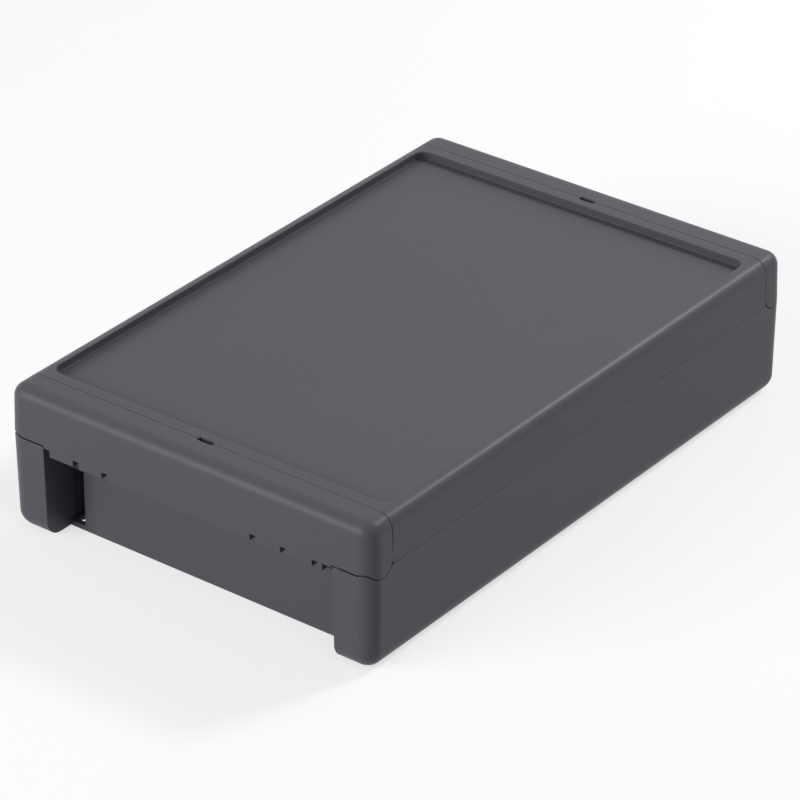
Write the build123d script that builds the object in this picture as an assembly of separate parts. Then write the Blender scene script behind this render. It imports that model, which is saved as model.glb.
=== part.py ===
from build123d import *
import os
from math import atan, degrees, radians, cos, sin

# Low enclosure with a lid held by two swing-out end closures.
# Frame: +X across the short side, +Y along the long side, +Z up; origin on the underside, in the middle.

# ---- driving dimensions, mm -------------------------------------------------
WIDTH = 170.0             # outside, at the parting height
LENGTH = 260.8            # outside, at the parting height
HEIGHT = 60.9
PARTING = 41.3            # height of the joint between base and lid
BASE_DRAFT = 0.0163       # inward slope of the base's sides, per mm of height
LID_DRAFT = 0.029
CORNER_R = 6.4            # upright corners at the parting height
TOP_R = 5.6               # rounding of the top edge
BOTTOM_R = 7.0            # rounding of the bottom edge
WALL = 4.5                # wall that carries the seal
SKIN = 2.4                # closure skin
FLOOR = 3.0
GAP = 0.3                 # gap all round a closure

PIVOT_IN = 6.4            # closure pivot axis, inboard of the end face
PIVOT_UP = 45.0           # and above the underside
PIN_R = 2.0
RUNNING = 0.05            # radial clearance of a pin in its lug
LUG = 4.0                 # thickness of a pivot lug
LUG_R = 3.6
LUG_SKIN = 2.2            # closure skin in front of a lug
HEEL = 40.5               # lower edge of the closure over a leg

LEG_W = 17.3              # width of a corner leg
SKIRT = 36.6              # lower edge of the closure skirt between the legs
RECESS = 13.4             # depth of the end recess below the skirt
SWING_RECESS = 15.4       # and behind the skirt, where its edge swings in
RECESS_STEP = 28.0        # height at which the recess deepens

LABEL_SIDE, LABEL_END = 6.5, 5.0   # rims beside the label field
LABEL_DEPTH = 3.2
LABEL_R = 5.0
LID_TOP = 2.8             # lid thickness under the label field

FIX_IN, FIX_END = 3.6, 17.9        # wall fixing hole: in from the leg, in from the end face
FIX_R = 2.25
FIX_HEAD_R = 3.9
FIX_FLOOR = 2.0
WINDOW_W, WINDOW_TOP = 7.3, 25.5   # window over a fixing hole, beside the leg

SEAL_W = 2.1              # groove for the seal in the rim of the base
SEAL_DEPTH = 2.2
TONGUE_H = 0.8
SEAL_R = 3.3              # corners of the seal line

SLOT_L, SLOT_W, SLOT_DEPTH = 7.0, 2.4, 4.0   # screwdriver slot on the closure line

BOARD_SIDE, BOARD_END = 15.0, 40.4 # board pillars, in from the side and end faces
PILLAR_R, PILLAR_H, PILOT_R = 4.0, 8.0, 1.4

NOTCH_W, NOTCH_H = 2.8, 2.8
NOTCHES_A = (1.7, 15.75, 29.6)     # skirt notches, in from one leg
NOTCHES_B = (7.9, 22.2, 36.2)      # and in from the other
END_NOTCH = 4.65          # wide notch that runs on to that other leg

# ---- dependent dimensions ---------------------------------------------------
HALF_X, HALF_Y = WIDTH / 2, LENGTH / 2
PIVOT_Y = HALF_Y - PIVOT_IN
LID_Y = PIVOT_Y - PIVOT_IN         # joint between lid and closure
LEG_X = HALF_X - LEG_W             # inner face of a corner leg
NOSE_R = PIVOT_IN                  # closure corner rolls about the pivot
HEEL_R = (PIVOT_IN**2 + (PIVOT_UP - HEEL)**2) ** 0.5     # reach of the heel from the pivot
TROUGH_R = HEEL_R + GAP
SIDE_TROUGH_R = NOSE_R + 0.4
LEG_TOP = PIVOT_UP - TROUGH_R      # lowest point of the trough
LABEL_X, LABEL_Y = HALF_X - LABEL_SIDE, LID_Y - LABEL_END
FIX_X, FIX_Y = LEG_X - FIX_IN, HALF_Y - FIX_END
WINDOW_X = LEG_X - WINDOW_W
BOARD_X, BOARD_Y = HALF_X - BOARD_SIDE, HALF_Y - BOARD_END
CHEEK_X = HALF_X - SKIN            # inner face of the closure's side skin
ARC_X = HALF_X - CORNER_R          # where the upright corner starts
SEAT_Y = HALF_Y - SWING_RECESS     # end wall of the sealed box
CEILING = HEIGHT - LABEL_DEPTH - LID_TOP
LUG_X = LEG_X + LUG                # outer face of a base lug
EAR_X = LEG_X - GAP                # outer face of a closure ear
HEM_X = LUG_X + GAP                # inner face of a closure corner
JOG_X = WINDOW_X - WALL / 2 + 0.2  # seal line beside a fixing hole
JOG_Y = FIX_Y - FIX_HEAD_R - WALL / 2 - 0.6
SEAL_X = HALF_X - WALL / 2
SEAL_Y = SEAT_Y - WALL / 2


def block(x0, x1, y0, y1, z0, z1):
    return Pos((x0 + x1) / 2, (y0 + y1) / 2, (z0 + z1) / 2) * Box(x1 - x0, y1 - y0, z1 - z0)


def rod(x0, x1, y, z, radius):
    """Round bar along X."""
    return Pos((x0 + x1) / 2, y, z) * Rot(0, 90, 0) * Cylinder(radius, x1 - x0)


def roller(radius, side_radius, x0, x1):
    """Bar on the pivot axis from x0 to x1 that narrows round the upright corner to the side skin."""
    narrowing = Pos((ARC_X + CHEEK_X) / 2, PIVOT_Y, PIVOT_UP) * Rot(0, 90, 0)
    bar = rod(x0, ARC_X, PIVOT_Y, PIVOT_UP, radius)
    bar += narrowing * Cone(radius, side_radius, CHEEK_X - ARC_X)
    return bar + rod(CHEEK_X, x1, PIVOT_Y, PIVOT_UP, side_radius)


def post(x, y, z0, z1, radius):
    return Pos(x, y, (z0 + z1) / 2) * Cylinder(radius, z1 - z0)


def corners(shape):
    """The shape and its mirror images in the other three corners."""
    pair = [shape, mirror(shape, Plane.YZ)]
    return pair + [mirror(s, Plane.XZ) for s in pair]


def drafted(sketch, z, height, slope, up=True):
    """Moulded block: the sketch lies at z and shrinks away from it."""
    return extrude(Pos(0, 0, z) * sketch, height, (0, 0, 1 if up else -1), taper=degrees(atan(slope)))


def seal_line(offset):
    """Face inside the seal line, grown or shrunk; it steps round the fixing holes."""
    x, y, a, b = (v + offset for v in (SEAL_X, SEAL_Y, JOG_X, JOG_Y))
    turns = [((x, b), 1), ((a, b), -1), ((a, y), 1)]
    loop = [((u, v), t) for (u, v), t in turns] + [((-u, v), t) for (u, v), t in reversed(turns)]
    loop += [((-u, -v), t) for (u, v), t in turns] + [((u, -v), t) for (u, v), t in reversed(turns)]
    line = FilletPolyline([p for p, _ in loop], radius=[SEAL_R + t * offset for _, t in loop], close=True)
    return make_face(line)


def seal_ring(width):
    return seal_line(width / 2) - seal_line(-width / 2)


# ---- outside form -----------------------------------------------------------
plan = RectangleRounded(WIDTH, LENGTH, CORNER_R)
lower = drafted(plan, PARTING, PARTING, BASE_DRAFT, up=False)
lower = fillet(lower.faces().sort_by(Axis.Z)[0].edges(), BOTTOM_R)
upper = drafted(plan, PARTING, HEIGHT - PARTING, LID_DRAFT)
upper = fillet(upper.faces().sort_by(Axis.Z)[-1].edges(), TOP_R)


# ---- base -------------------------------------------------------------------
def make_base():
    base = lower
    for s in (1, -1):
        y0, y1 = sorted((s * (HALF_Y - RECESS), s * HALF_Y * 1.2))
        base -= block(-LEG_X, LEG_X, y0, y1, -1, RECESS_STEP + 2)
        y0, y1 = sorted((s * SEAT_Y, s * HALF_Y * 1.2))
        base -= block(-LEG_X, LEG_X, y0, y1, RECESS_STEP, PARTING + 1)
    base -= extrude(Pos(0, 0, FLOOR) * seal_line(-WALL / 2), PARTING)
    base -= extrude(Pos(0, 0, PARTING - SEAL_DEPTH) * seal_ring(SEAL_W), SEAL_DEPTH + 1)

    # top of a leg: hollowed for the closure to roll in, tighter at the side face
    trough = roller(TROUGH_R, SIDE_TROUGH_R, LEG_X - 1, HALF_X + 1)
    # the leg is cored from below, with one cross rib
    core = block(LEG_X + 3, HALF_X - 3.6, JOG_Y + WALL / 2 + 3, HALF_Y - 3.4, -1, LEG_TOP - 4)
    core = fillet(core.edges().filter_by(Axis.Z), 1.5)
    core -= block(LEG_X, HALF_X, LID_Y - 1.6, LID_Y + 0.4, -2, LEG_TOP)
    # fixing hole: window to the end recess, head clearance from above
    window = block(WINDOW_X, LEG_X, JOG_Y + WALL / 2, HALF_Y, FIX_FLOOR, WINDOW_TOP)
    drill = post(FIX_X, FIX_Y, -1, PARTING + 1, FIX_R) + post(FIX_X, FIX_Y, FIX_FLOOR, PARTING + 1, FIX_HEAD_R)
    for cut in (trough, core, window, drill):
        for c in corners(cut):
            base -= c

    # pivot lug on a neck that comes from behind, so that the closure's skin can swing below it
    foot = Polyline((PIVOT_Y - 1.9, PIVOT_UP - 2.8), (PIVOT_Y - 6.5, PIVOT_UP - 9.0),
                    (PIVOT_Y - 9.5, PIVOT_UP - 9.0), (PIVOT_Y - 9.5, PARTING - 0.2),
                    (PIVOT_Y - 6.1, PARTING - 0.2), (PIVOT_Y - 3.4, PIVOT_UP - 0.9), close=True)
    foot = Pos(LEG_X, 0, 0) * extrude(Plane.YZ * make_face(foot), LUG)
    lug = foot + rod(LEG_X, LUG_X, PIVOT_Y, PIVOT_UP, LUG_R)
    lug -= rod(LEG_X - 1, LUG_X + 1, PIVOT_Y, PIVOT_UP, PIN_R + RUNNING)
    # pillar for a circuit board, with four webs
    pillar = Pos(BOARD_X, BOARD_Y, FLOOR) * extrude(Circle(PILLAR_R), PILLAR_H)
    for x, y in ((1.0, 7.0), (7.0, 1.0)):
        pillar += Pos(BOARD_X, BOARD_Y, FLOOR + PILLAR_H / 2 - 1) * Box(2 * x, 2 * y, PILLAR_H - 2)
    pilot = post(BOARD_X, BOARD_Y, FLOOR - 1, FLOOR + PILLAR_H + 1, PILOT_R)
    for add in (lug, pillar):
        for c in corners(add):
            base += c
    for c in corners(pilot):
        base -= c
    # pillars at mid length and low floor ribs
    for s in (1, -1):
        base += post(s * BOARD_X, 0, FLOOR, FLOOR + PILLAR_H, PILLAR_R)
        base -= post(s * BOARD_X, 0, FLOOR - 1, FLOOR + PILLAR_H + 1, PILOT_R)
    for i in (-1.5, -0.5, 0.5, 1.5):
        y = i * BOARD_Y * 4 / 9
        base += block(-HALF_X + WALL - 0.5, HALF_X - WALL + 0.5, y - 0.8, y + 0.8, FLOOR - 0.5, FLOOR + 2.0)
    return base


# ---- lid --------------------------------------------------------------------
def make_lid():
    lid = upper & block(-HALF_X, HALF_X, -LID_Y, LID_Y, PARTING + 0.2, HEIGHT + 1)
    label = extrude(Pos(0, 0, HEIGHT - LABEL_DEPTH) * RectangleRounded(2 * LABEL_X, 2 * LABEL_Y, LABEL_R), 10)
    lid -= label
    lid -= extrude(seal_line(-WALL / 2), CEILING)
    lid += extrude(Pos(0, 0, PARTING - TONGUE_H) * seal_ring(SEAL_W - 0.7), TONGUE_H + 1)
    for x in (-HALF_X / 2, 0.0, HALF_X / 2):
        lid += block(x - 0.8, x + 0.8, -SEAL_Y, SEAL_Y, CEILING - 2.5, CEILING + 0.5)
    for i in (-1.5, -0.5, 0.5, 1.5):
        y = i * LABEL_Y * 4 / 9
        lid += block(-SEAL_X, SEAL_X, y - 0.8, y + 0.8, CEILING - 2.5, CEILING + 0.5)
    for s in (1, -1):
        lid -= Pos(0, s * LID_Y, HEIGHT) * Box(SLOT_L, SLOT_W, 2 * SLOT_DEPTH)
    return lid


# ---- closure ----------------------------------------------------------------
def make_closure():
    """The closure at the far (+Y) end; the other one is the same part turned about Z."""
    form = upper + lower
    outer = form & block(-HALF_X, HALF_X, LID_Y + GAP, HALF_Y + 5, SKIRT, HEIGHT + 1)
    top = HEIGHT - SKIN - 0.6
    out = HALF_Y - SKIN                       # inside of the end skin
    butt = LID_Y + GAP + 2.0                  # inside of the flange against the lid

    # middle: end skin, top strip and the flange against the lid
    middle = block(-EAR_X, EAR_X, butt, out, PIVOT_UP + 1, top)
    below = block(-EAR_X, EAR_X, 0, out, 0, PIVOT_UP + 1)
    closure = outer - middle - below
    # over the legs the skin ends at the pivot and rolls under it
    for s in (1, -1):
        x0, x1 = sorted((s * EAR_X, s * (HALF_X + 1)))
        closure -= block(x0, x1, 0, HALF_Y + 5, 0, PIVOT_UP)
        a, b = sorted((s * HEM_X, s * (HALF_X + 1)))
        closure += rod(a, b, PIVOT_Y, PIVOT_UP, NOSE_R) & form
        # clearance for the base lug
        a, b = sorted((s * EAR_X, s * HEM_X))
        closure -= block(a, b, 0, HALF_Y - LUG_SKIN, 0, top)
        # the end skin runs on down to the leg as a heel
        heel = roller(HEEL_R, NOSE_R, EAR_X, HALF_X) & form
        heel &= block(EAR_X, HALF_X, HALF_Y - LUG_SKIN, HALF_Y, HEEL, PIVOT_UP + 1)
        closure += heel if s > 0 else mirror(heel, Plane.YZ)
        # the corner is cored from the lid side
        a, b = sorted((s * (HEM_X + SKIN), s * (CHEEK_X - 0.6)))
        core = block(a, b, 0, out - 1.0, PIVOT_UP + 3, top)
        closure -= fillet(core.edges().filter_by(Axis.Y), 1.5)
        # ear with the hinge pin
        a, b = sorted((s * EAR_X, s * (EAR_X - LUG)))
        ear = rod(a, b, PIVOT_Y, PIVOT_UP, LUG_R) + block(a, b, PIVOT_Y - LUG_R, out + 1, PIVOT_UP, top + 1)
        closure += ear & form
        closure -= rod(a - 1, b + 1, PIVOT_Y, PIVOT_UP, PIN_R)
    # inner ribs under the top strip
    for i in range(-2, 3):
        x = i * EAR_X / 3
        closure += block(x - 0.8, x + 0.8, butt - 0.5, out + 0.5, top - 3.5, top + 0.5)
    # notches in the skirt
    for x in [LEG_X - d for d in NOTCHES_A] + [d - LEG_X for d in NOTCHES_B]:
        closure -= block(x - NOTCH_W / 2, x + NOTCH_W / 2, out - 1, HALF_Y + 5, SKIRT - 1, SKIRT + NOTCH_H)
    closure -= block(-LEG_X, END_NOTCH - LEG_X, out - 1, HALF_Y + 5, SKIRT - 1, SKIRT + NOTCH_H)
    closure -= Pos(0, LID_Y, HEIGHT) * Box(SLOT_L, SLOT_W, 2 * SLOT_DEPTH)
    return closure


base = make_base()
lid = make_lid()
far = make_closure()
near = Rot(0, 0, 180) * far
gasket = extrude(Pos(0, 0, PARTING - SEAL_DEPTH) * seal_ring(SEAL_W - 0.3), SEAL_DEPTH - TONGUE_H - 0.2)

nodes = {"base": base, "lid": lid, "gasket": gasket, "front_closure": near, "rear_closure": far}
for end, s in (("rear", 1), ("front", -1)):
    for side, t in (("right", 1), ("left", -1)):
        x0, x1 = sorted((t * (EAR_X - LUG), t * (LUG_X - 0.2)))
        nodes[f"hinge_pin_{end}_{side}"] = rod(x0, x1, s * PIVOT_Y, PIVOT_UP, PIN_R)

os.makedirs("parts", exist_ok=True)
for name, shape in nodes.items():
    shape.label = name
    export_step(shape, f"parts/{name}.step")
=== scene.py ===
import math

import bpy
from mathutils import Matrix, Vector

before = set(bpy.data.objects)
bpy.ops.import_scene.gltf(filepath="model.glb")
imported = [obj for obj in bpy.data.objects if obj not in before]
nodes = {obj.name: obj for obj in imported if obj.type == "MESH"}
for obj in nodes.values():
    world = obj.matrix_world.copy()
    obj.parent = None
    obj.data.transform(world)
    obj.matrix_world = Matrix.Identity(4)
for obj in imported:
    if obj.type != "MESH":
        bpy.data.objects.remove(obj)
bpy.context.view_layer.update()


# ---- shader maths ---------------------------------------------------------------
class Value:
    """A socket that takes part in Python arithmetic; each step adds a Math node."""

    def __init__(self, tree, socket):
        self.tree, self.socket = tree, socket

    def _with(self, operation, *others, clamp=False):
        terms = [o.socket if isinstance(o, Value) else o for o in (self, *others)]
        node = self.tree.node("ShaderNodeMath", {"operation": operation, "use_clamp": clamp},
                              dict(enumerate(terms)))
        return Value(self.tree, node.outputs[0])

    def __add__(self, other): return self._with("ADD", other)
    def __sub__(self, other): return self._with("SUBTRACT", other)
    def __mul__(self, other): return self._with("MULTIPLY", other)
    def __rsub__(self, other): return (self * -1.0)._with("ADD", other)
    __radd__, __rmul__ = __add__, __mul__

    def clamped(self): return self._with("ADD", 0.0, clamp=True)
    def greatest(self, other): return self._with("MAXIMUM", other)

    def swung(self, width):
        """Noise from 0 to 1 made into a swing of that width about 0."""
        return (self - 0.5) * width


class Shading:
    """A material's or the world's node tree, with one way to add any node."""

    def __init__(self, owner):
        owner.use_nodes = True
        self.tree = owner.node_tree
        self.tree.nodes.clear()

    def node(self, kind, settings=None, inputs=None):
        made = self.tree.nodes.new(kind)
        for name, value in (settings or {}).items():
            setattr(made, name, value)
        for key, value in (inputs or {}).items():
            socket = made.inputs[key]
            if isinstance(value, Value):
                value = value.socket
            if isinstance(value, bpy.types.NodeSocket):
                self.tree.links.new(value, socket)
            else:
                socket.default_value = value
        return made

    def value(self, kind, output, settings=None, inputs=None):
        return Value(self, self.node(kind, settings, inputs).outputs[output])

    def place(self):
        """Position on the piece."""
        return self.node("ShaderNodeTexCoord").outputs["Object"]

    def noise(self, size, detail=3.0, roughness=0.5, at=None):
        """Noise from 0 to 1 whose features are about size across."""
        return self.value("ShaderNodeTexNoise", "Fac", {},
                          {"Vector": at or self.place(), "Scale": 1.0 / size,
                           "Detail": detail, "Roughness": roughness})

    def blend(self, amount, first, second):
        return self.node("ShaderNodeMix", {"data_type": "RGBA"},
                         {"Factor": amount, "A": first, "B": second}).outputs["Result"]

    def dot(self, first, second):
        return self.value("ShaderNodeVectorMath", "Value", {"operation": "DOT_PRODUCT"},
                          {0: first, 1: second})

    def bump(self, height, strength, distance, **more):
        """The surface normal, raised by distance where height is 1."""
        return self.node("ShaderNodeBump", {},
                         {"Strength": strength, "Distance": distance, "Height": height,
                          **more}).outputs["Normal"]

    def principled(self, inputs):
        self.surface(self.node("ShaderNodeBsdfPrincipled", {}, inputs).outputs[0])

    def surface(self, shader, output="ShaderNodeOutputMaterial"):
        self.node(output, {}, {"Surface": shader})


def grey(level):
    return (level, level, level, 1.0)


def shade(colour, factor):
    """The colour made darker or lighter, with the alpha that a socket needs."""
    return tuple(c * factor for c in colour) + (1.0,)


# ---- finishes -------------------------------------------------------------------
GRAPHITE = (0.102, 0.105, 0.124)
DARKEST, LIGHTEST, WORN_AND_SHEEN = 0.86, 1.14, 1.45         # times the colour of the plastic; the pale edge colour is partly wear, partly painted highlight
FLOW_SIZE, CLOUD_SIZE = 0.055, 0.009               # tone of the melt, and of handling
PIT_SIZE, COARSE_SIZE, GRAIN_DEPTH = 0.00042, 0.0011, 0.00006
EDGE_RADIUS, EDGE_GAIN = 0.0006, 3.5
WEAR_SHEEN_EVEN, WEAR_SHEEN_PATCHY = 0.45, 0.9                   # handling wears the edges unevenly; the same mask also paints a highlight on them
RUB_AND_SHEEN_TONE, RUB_SHINE = 0.35, 0.10                   # how much paler (wear and painted highlight) and smoother they get
GLOSS = 0.46                                       # mean roughness of the grain

CELLS_PER_METRE, CELL_DEPTH, SEAL_CLOUD_SIZE = 2600.0, 0.0001, 0.006
CELL_DARK, CELL_LIGHT = (0.012, 0.012, 0.013, 1.0), (0.045, 0.045, 0.047, 1.0)

LINES_ACROSS, LINES_ALONG = 9000.0, 260.0          # turned lines a metre
LINE_DEPTH, FILM_SIZE = 0.00002, 0.004
STEEL_COOL, STEEL_WARM = (0.50, 0.50, 0.51, 1.0), (0.64, 0.63, 0.61, 1.0)


def moulded_plastic(name, colour):
    """Spark-eroded moulding: fine pitted grain, faint flow tone, edges polished by handling and
    made paler, partly as a painted highlight.
    """
    material = bpy.data.materials.new(name)
    s = Shading(material)
    at = s.place()
    flow = s.noise(FLOW_SIZE, detail=2.0, roughness=0.45, at=at)
    cloud = s.noise(CLOUD_SIZE, detail=4.0, roughness=0.6, at=at)
    pits = s.noise(PIT_SIZE, detail=2.0, roughness=0.55, at=at)
    coarse = s.noise(COARSE_SIZE, detail=1.0, roughness=0.5, at=at)
    # how far the surface turns within the edge radius: 0 on a flat, 1 on an edge
    rounded = s.node("ShaderNodeBevel", {"samples": 6}, {"Radius": EDGE_RADIUS}).outputs["Normal"]
    straight = s.node("ShaderNodeNewGeometry").outputs["Normal"]
    edge = ((1.0 - s.dot(rounded, straight)) * EDGE_GAIN).clamped()
    rubbed_and_sheen = (edge * (WEAR_SHEEN_EVEN + cloud * WEAR_SHEEN_PATCHY)).clamped()
    tone = flow.swung(0.10) + cloud.swung(0.07) + pits.swung(0.10)
    base = s.blend((tone * 2.0 + 0.5).clamped(), shade(colour, DARKEST), shade(colour, LIGHTEST))
    # edges made paler: partly handling wear, partly a painted highlight along the edges
    base = s.blend(rubbed_and_sheen * RUB_AND_SHEEN_TONE, base, shade(colour, WORN_AND_SHEEN))
    rough = GLOSS + pits.swung(0.16) + cloud.swung(0.08) - rubbed_and_sheen * RUB_SHINE
    relief = pits * 0.7 + coarse * 0.3
    normal = s.bump(relief, strength=0.16, distance=GRAIN_DEPTH, Normal=rounded)
    s.principled({"Base Color": base, "Roughness": rough, "Normal": normal,
                  "IOR": 1.49, "Specular IOR Level": 0.24,
                  "Coat Weight": 0.06, "Coat Roughness": 0.24, "Coat IOR": 1.45})
    return material


def foam_rubber(name):
    """Closed-cell seal: matt and near black, with a fine cell pattern."""
    material = bpy.data.materials.new(name)
    s = Shading(material)
    cells = s.value("ShaderNodeTexVoronoi", "Distance", {},
                    {"Vector": s.place(), "Scale": CELLS_PER_METRE})
    cloud = s.noise(SEAL_CLOUD_SIZE)
    base = s.blend((cells * 0.8 + cloud * 0.3).clamped(), CELL_DARK, CELL_LIGHT)
    normal = s.bump(cells, strength=0.5, distance=CELL_DEPTH)
    s.principled({"Base Color": base, "Roughness": 0.86 - cloud * 0.08, "Normal": normal,
                  "Specular IOR Level": 0.3})
    return material


def ground_steel(name):
    """Dowel pin: fine lines from turning, and a little oil tone."""
    material = bpy.data.materials.new(name)
    s = Shading(material)
    stretched = s.node("ShaderNodeMapping", {},
                       {"Vector": s.place(), "Scale": (LINES_ACROSS, LINES_ALONG, LINES_ALONG)})
    lines = s.value("ShaderNodeTexNoise", "Fac", {},
                    {"Vector": stretched.outputs[0], "Scale": 1.0, "Detail": 2.0})
    base = s.blend(s.noise(FILM_SIZE), STEEL_COOL, STEEL_WARM)
    normal = s.bump(lines, strength=0.12, distance=LINE_DEPTH)
    s.principled({"Base Color": base, "Metallic": 1.0, "Roughness": 0.24 + lines * 0.14,
                  "Normal": normal})
    return material


shell = moulded_plastic("shell_graphite", GRAPHITE)
cover = moulded_plastic("cover_graphite", GRAPHITE)
seal = foam_rubber("seal_foam")
dowel = ground_steel("dowel_steel")


def finish_of(name):
    """The material of a node; the lid and both closures are covers."""
    if name.startswith("hinge_pin"):
        return dowel
    return {"base": shell, "gasket": seal}.get(name, cover)


for name, piece in nodes.items():
    for slot in piece.material_slots:
        slot.material = finish_of(name)


# ---- studio ---------------------------------------------------------------------
FLOOR_HALF, FLOOR_DROP = 6.0, 0.00015              # just clear of the underside
FLOOR_TONE, FLOOR_GLOW = 0.50, 0.66
WORLD_LEVEL = 0.14
AIM = Vector((0, 0, 0.03))                         # lamps face the middle of the object
CAMERA_AT, CAMERA_TURN = (0.90836, -1.18143, 0.88745), (59.908, 0.054, 37.607)
LENS_MM, SENSOR_MM, FARTHEST = 203.58, 36.0, 50.0


def seen_directly(s):
    """1 for the camera, and for what mirrors and glass show."""
    path = s.node("ShaderNodeLightPath")
    rays = [Value(s, path.outputs[n])
            for n in ("Is Camera Ray", "Is Glossy Ray", "Is Transmission Ray")]
    return rays[0].greatest(rays[1]).greatest(rays[2])


def pale_floor():
    corners = [(x * FLOOR_HALF, y * FLOOR_HALF, -FLOOR_DROP)
               for x, y in ((-1, -1), (1, -1), (1, 1), (-1, 1))]
    mesh = bpy.data.meshes.new("studio_floor")
    mesh.from_pydata(corners, [], [(0, 1, 2, 3)])
    floor = bpy.data.objects.new("studio_floor", mesh)
    bpy.context.scene.collection.objects.link(floor)
    material = bpy.data.materials.new("studio_floor")
    s = Shading(material)
    matt = s.node("ShaderNodeBsdfDiffuse", {}, {"Color": grey(FLOOR_TONE)})
    glow = s.node("ShaderNodeEmission", {},
                  {"Color": grey(1.0), "Strength": seen_directly(s) * FLOOR_GLOW})
    both = s.node("ShaderNodeAddShader", {}, {0: matt.outputs[0], 1: glow.outputs[0]})
    # from below the floor is clear, so that the underside can be seen
    below = s.node("ShaderNodeNewGeometry").outputs["Backfacing"]
    clear = s.node("ShaderNodeBsdfTransparent")
    sided = s.node("ShaderNodeMixShader", {}, {0: below, 1: both.outputs[0], 2: clear.outputs[0]})
    s.surface(sided.outputs[0])
    mesh.materials.append(material)


def pale_world(level):
    """White where it is seen, and as strong as level where it lights the object."""
    world = bpy.data.worlds.new("studio")
    bpy.context.scene.world = world
    s = Shading(world)
    dim = s.node("ShaderNodeBackground", {}, {"Color": grey(1.0), "Strength": level})
    white = s.node("ShaderNodeBackground", {}, {"Color": grey(1.0), "Strength": 1.0})
    mixed = s.node("ShaderNodeMixShader", {},
                   {0: seen_directly(s), 1: dim.outputs[0], 2: white.outputs[0]})
    s.surface(mixed.outputs[0], "ShaderNodeOutputWorld")


def softbox(name, azimuth, elevation, distance, width, height, watts):
    """A panel lamp that faces the object from that side."""
    lamp = bpy.data.lights.new(name, "AREA")
    lamp.shape, lamp.size, lamp.size_y, lamp.energy = "RECTANGLE", width, height, watts
    holder = bpy.data.objects.new(name, lamp)
    bpy.context.scene.collection.objects.link(holder)
    a, e = math.radians(azimuth), math.radians(elevation)
    way = Vector((math.sin(a) * math.cos(e), -math.cos(a) * math.cos(e), math.sin(e)))
    holder.location = way * distance + AIM
    holder.rotation_euler = way.to_track_quat("Z", "Y").to_euler()


def product_camera():
    camera = bpy.data.objects.new("camera", bpy.data.cameras.new("camera"))
    bpy.context.scene.collection.objects.link(camera)
    camera.location = CAMERA_AT
    camera.rotation_euler = tuple(math.radians(a) for a in CAMERA_TURN)
    camera.data.lens, camera.data.sensor_width = LENS_MM, SENSOR_MM
    camera.data.clip_end = FARTHEST
    bpy.context.scene.camera = camera


pale_floor()
pale_world(WORLD_LEVEL)
softbox("front_panel", azimuth=-24, elevation=20, distance=1.8, width=1.3, height=0.8, watts=18.0)
softbox("rear_panel", azimuth=186, elevation=44, distance=1.7, width=1.2, height=0.6, watts=2.0)
softbox("edge_light", azimuth=155, elevation=40, distance=1.6, width=0.30, height=0.22, watts=9.0)
softbox("corner_light", azimuth=58, elevation=60, distance=1.6, width=0.22, height=0.22, watts=1.5)
product_camera()
bpy.context.scene.view_settings.view_transform = "Standard"
